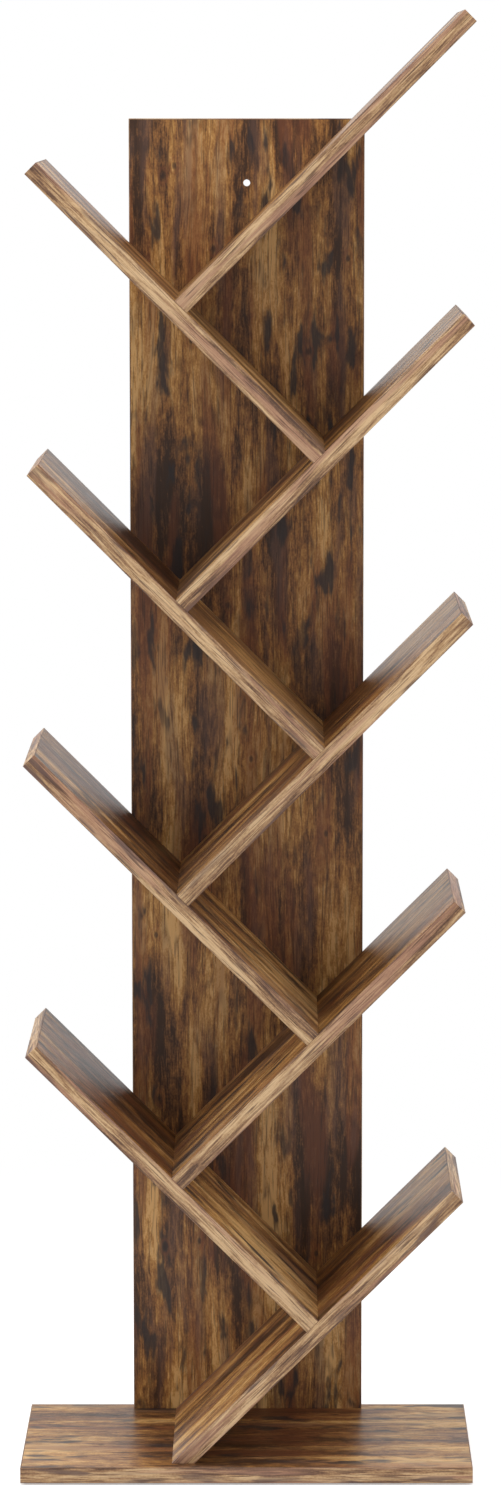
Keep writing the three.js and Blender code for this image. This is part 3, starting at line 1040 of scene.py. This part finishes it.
takes = {
    "Places": GEOMETRY, "Length": SCREW_LENGTH, "Head Radius": HEAD_RADIUS, "Head Rim": HEAD_RIM,
    "Head Depth": HEAD_DEPTH, "Shank Radius": SHANK_RADIUS, "Shank End": SHANK_END,
    "Thread Radius": THREAD_RADIUS, "Core Radius": 2.3 * MM, "Thread Pitch": 3 * MM,
    "Rings Per Turn": 6.0, "Tip Radius": TIP_RADIUS, "Tip Length": TIP_LENGTH, "Socket Flats": 4 * MM,
    "Socket Depth": 2.5 * MM, "Seed": 7, "Finish": MATERIAL,
}
SCREW_TREE, given, out = new_group("connecting screw", "GeometryNodeTree", takes, {"Screws": GEOMETRY})
length, head, core = given["Length"], given["Head Radius"], given["Core Radius"]
shank, shank_end, per_turn = given["Shank Radius"], given["Shank End"], given["Rings Per Turn"]
thread_length = length - given["Tip Length"] - shank_end
thread_rows = calc("ROUND", thread_length / given["Thread Pitch"] * per_turn)
last_thread = thread_rows + HEAD_ROWS


def ring_of_row(row):
    past = (row > last_thread + 0.5) + (row > last_thread + 1.5)
    return calc("MINIMUM", row, HEAD_ROWS) + past


def screw_outline(angle, row):
    in_flat = calc("MODULO", angle, SIXTH) - SIXTH / 2
    socket, floor = given["Socket Flats"] * 0.5 / calc("COSINE", in_flat), given["Socket Depth"]
    thread_row = row - HEAD_ROWS
    helix = thread_row / per_turn - angle / (2 * math.pi)
    crest = between(calc("PINGPONG", helix, 0.5), *CREST)
    run_in = between(thread_row, 0.0, RUN_IN_ROWS)
    thread = crest * run_in * (given["Thread Radius"] - core) + core
    thread_depth = thread_row / thread_rows * thread_length + (shank_end + THREAD_STEP)
    return [
        (0.0, floor), (socket, floor), (socket, 0.0), (head - HEAD_ARRIS, 0.0), (head, HEAD_ARRIS_DROP),
        (head, given["Head Rim"]), (shank, given["Head Depth"]), (shank, shank_end),
        (core, shank_end + SHANK_STEP), (thread, thread_depth), (given["Tip Radius"], length),
        (0.0, length),
    ]


screw = rolled(last_thread + 3.0, SCREW_SIDES, screw_outline, ring_of_row)
roll = put("FunctionNodeRandomValue", {"Seed": given["Seed"]}, output=1, data_type="FLOAT") * math.pi
feed(out, {"Screws": set_out(given, screw, roll)})
print("the screw tree has", len(SCREW_TREE.nodes), "nodes")

# %% Make the screws
spots = [(head, aim) for head, aim, _ in screws.values()]
make_turned(SCREW_TREE, "connecting_screws", spots, {"Finish": ZINC}, "zinc_screw", screws)

# %% [markdown]
# ## Dowels
#
# A beech dowel has chamfered ends and shallow flutes that let the glue rise. A smooth cylinder with a bump
# would do from afar, but the flutes are cheap here: every second column of the rolled grid is drawn in by
# their depth. Two sizes are needed, so the tree runs twice, and each result is a piece of its own.

# %% Build and make the dowels
FLUTES = 20

takes = {
    "Places": GEOMETRY, "Length": 26 * MM, "Radius": 4 * MM, "Chamfer": 1 * MM, "Flute": 0.25 * MM,
    "Finish": MATERIAL,
}
DOWEL_TREE, given, out = new_group("fluted dowel", "GeometryNodeTree", takes, {"Dowels": GEOMETRY})
top = given["Length"] * 0.5
shoulder = top - given["Chamfer"]


def dowel_outline(angle, row):
    valley = calc("PINGPONG", calc("ROUND", angle * (FLUTES / math.pi)), 1.0)
    full = given["Radius"] - valley * given["Flute"]
    end = given["Radius"] - given["Chamfer"]
    below = [(0.0, top * -1.0), (end, top * -1.0), (full, shoulder * -1.0)]
    return [*below, (full, shoulder), (end, top), (0.0, top)]


feed(out, {"Dowels": set_out(given, rolled(6, 2 * FLUTES, dowel_outline))})
for kind in ("trunk", "foot"):
    chosen = {node: dowels[node] for node in dowels if node.startswith(kind)}
    _, radius, length = next(iter(chosen.values()))
    spots = [(place, Z) for place, _, _ in chosen.values()]
    sizes = {"Length": length, "Radius": radius, "Finish": BEECH}
    make_turned(DOWEL_TREE, f"fluted_dowels_{kind}", spots, sizes, "beech_dowel", chosen)

# %% [markdown]
# ## Glides
#
# Four felt pads keep the base off the floor. A pad is a punched disc whose lower edge swells and rounds a
# little under the weight. A bevelled cylinder would round both edges alike, so its rings say it instead: they
# go from the middle of the lower face out over that soft edge, up the side and back to the middle.

# %% Build and make the glides
PAD_SIDES = 48
PAD_TAPER, PAD_RIM = 0.1 * MM, 0.25 * MM
PAD_SHOULDER = 0.8

takes = {
    "Places": GEOMETRY, "Radius": 10 * MM, "Height": 2 * MM, "Soft Edge": 0.6 * MM, "Finish": MATERIAL,
}
GLIDE_TREE, given, out = new_group("felt glide", "GeometryNodeTree", takes, {"Glides": GEOMETRY})
radius, height, soft = given["Radius"], given["Height"], given["Soft Edge"]
arc = [math.radians(a) for a in (0, 30, 60, 90)]


def pad_outline(angle, row):
    edge = [(soft * (math.sin(a) - 1.0) + radius, soft * (1.0 - math.cos(a))) for a in arc]
    top = [(radius - PAD_TAPER, height * PAD_SHOULDER), (radius - PAD_RIM, height), (0.0, height)]
    return [(0.0, 0.0), *edge, *top]


feed(out, {"Glides": set_out(given, rolled(8, PAD_SIDES, pad_outline))})
feet = []
for node in glides:
    low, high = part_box(node)
    feet.append((Vector(((low.x + high.x) / 2, (low.y + high.y) / 2, low.z)), Z))
sizes = {"Radius": (high.x - low.x) / 2, "Height": high.z - low.z, "Finish": FELT}
make_turned(GLIDE_TREE, "felt_glides", feet, sizes, "felt_glide", glides)

# %% [markdown]
# ## The camera
#
# The shelf was photographed with a long lens from a little over shoulder height, looking slightly down. The
# lens and place could be tried by eye, but they were found by fitting one camera to the straight edges of the
# boards. The picture is 1500 pixels tall and the lens sees that side as 36 mm of film.

# %% Set the camera
PICTURE_HEIGHT = 1500
FOCAL_PIXELS = 4648.8
FILM = 36.0
FRAMING_SHIFT = (-0.0167, -0.0151)
CAMERA_PLACE = (28.9 * MM, -4587.8 * MM, 1380.2 * MM)
ABOVE_STRAIGHT_DOWN = math.radians(90 - 7.88)
FARTHEST_SEEN = 60.0

camera = new_object("camera", bpy.data.cameras.new("camera"))
camera.data.sensor_width = FILM
camera.data.lens = FOCAL_PIXELS / PICTURE_HEIGHT * FILM
camera.data.shift_x, camera.data.shift_y = FRAMING_SHIFT
camera.data.clip_end = FARTHEST_SEEN
camera.location = CAMERA_PLACE
camera.rotation_euler = (ABOVE_STRAIGHT_DOWN, 0, 0)
bpy.context.scene.camera = camera
print("the lens is", round(camera.data.lens, 1), "mm")

# %% [markdown]
# ## Floor, backdrop light and lamps
#
# The shelf stands in a plain white studio. Strong light would give the white but bleach the wood, so the
# white comes from Light Path: the world shows as pure white to the camera and in reflections, and lights the
# shelf only moderately. The pale floor glows a little for the camera, just enough to meet the white behind
# it, so that only the shelf's soft shadow darkens it. Further out it turns all white, so that no horizon
# shows.
#
# Most of the light comes from all round, as the shadows in the photo are soft and even. Four large lamps add
# to it: a strong one from the left side, a weaker one from the right, one overhead, and a faint one from
# behind for the rear of the trunk.

# %% Light the studio
WHITE = (1, 1, 1, 1)
AMBIENT = 0.666
NEAR_GLOW = 0.40
FLOOR_HALF = 6.0
FLOOR_LOOKS = {
    "Base Color": (0.85, 0.85, 0.85, 1), "Roughness": 0.9, "Specular IOR Level": 0.1, "Emission Color": WHITE,
}
ALL_WHITE = (0.35, 1.3)
LIT_POINT = Vector((0, 0, 0.7))
LAMPS = {
    "left": ((-3.6, -0.6, 2.4), (2.0, 2.0), 63),
    "right": ((3.6, -0.6, 2.4), (2.0, 2.0), 36),
    "overhead": ((0.0, -1.0, 3.8), (2.4, 2.0), 51),
    "rear": ((-2.6, 1.6, 3.2), (1.6, 1.6), 9),
}


def shown():
    """1 for a ray that shows a surface: to the camera, mirrored or through glass."""
    path = wires(add("ShaderNodeLightPath"))
    direct = calc("MAXIMUM", path["Is Camera Ray"], path["Is Glossy Ray"])
    return calc("MAXIMUM", direct, path["Is Transmission Ray"])


world = bpy.data.worlds.new("studio")
bpy.context.scene.world = world
world.use_nodes = True
BENCH.append(world.node_tree)
strength = shown() * (1.0 - AMBIENT) + AMBIENT
feed(world.node_tree.nodes["Background"].inputs, {"Color": WHITE, "Strength": strength})

mesh = bpy.data.meshes.new("floor")
corners = [(x * FLOOR_HALF, y * FLOOR_HALF, 0) for x, y in ((-1, -1), (1, -1), (1, 1), (-1, 1))]
mesh.from_pydata(corners, [], [(0, 1, 2, 3)])
PALE_FLOOR, shader = new_material("pale floor", FLOOR_LOOKS)
showing = shown()
feed(shader.inputs, {"Emission Strength": showing * NEAR_GLOW})
feeds = {0: put("ShaderNodeTexCoord", output="Object")}
away = put("ShaderNodeVectorMath", feeds, output="Value", operation="LENGTH")
far = between(away, *ALL_WHITE) * showing
white = put("ShaderNodeEmission", {"Strength": 1.0})
both = put("ShaderNodeMixShader", {0: far, 1: Wire(shader.outputs[0]), 2: white})
feed(PALE_FLOOR.node_tree.nodes["Material Output"].inputs, {0: both})
mesh.materials.append(PALE_FLOOR)
new_object("floor", mesh)

for name, (place, size, power) in LAMPS.items():
    light = new_object(name, bpy.data.lights.new(name, "AREA"))
    light.data.shape = "RECTANGLE"
    light.data.size, light.data.size_y = size
    light.data.energy = power
    light.location = place
    light.rotation_euler = (LIT_POINT - Vector(place)).to_track_quat("-Z", "Y").to_euler()
print("lit by", len(LAMPS), "lamps")

# %% [markdown]
# ## Looks of the whole
#
# The view transform is Standard, so that a colour shows as it was named. The dressed shelf may not be
# larger than the frame.

# %% Finish
bpy.context.scene.view_settings.view_transform = "Standard"
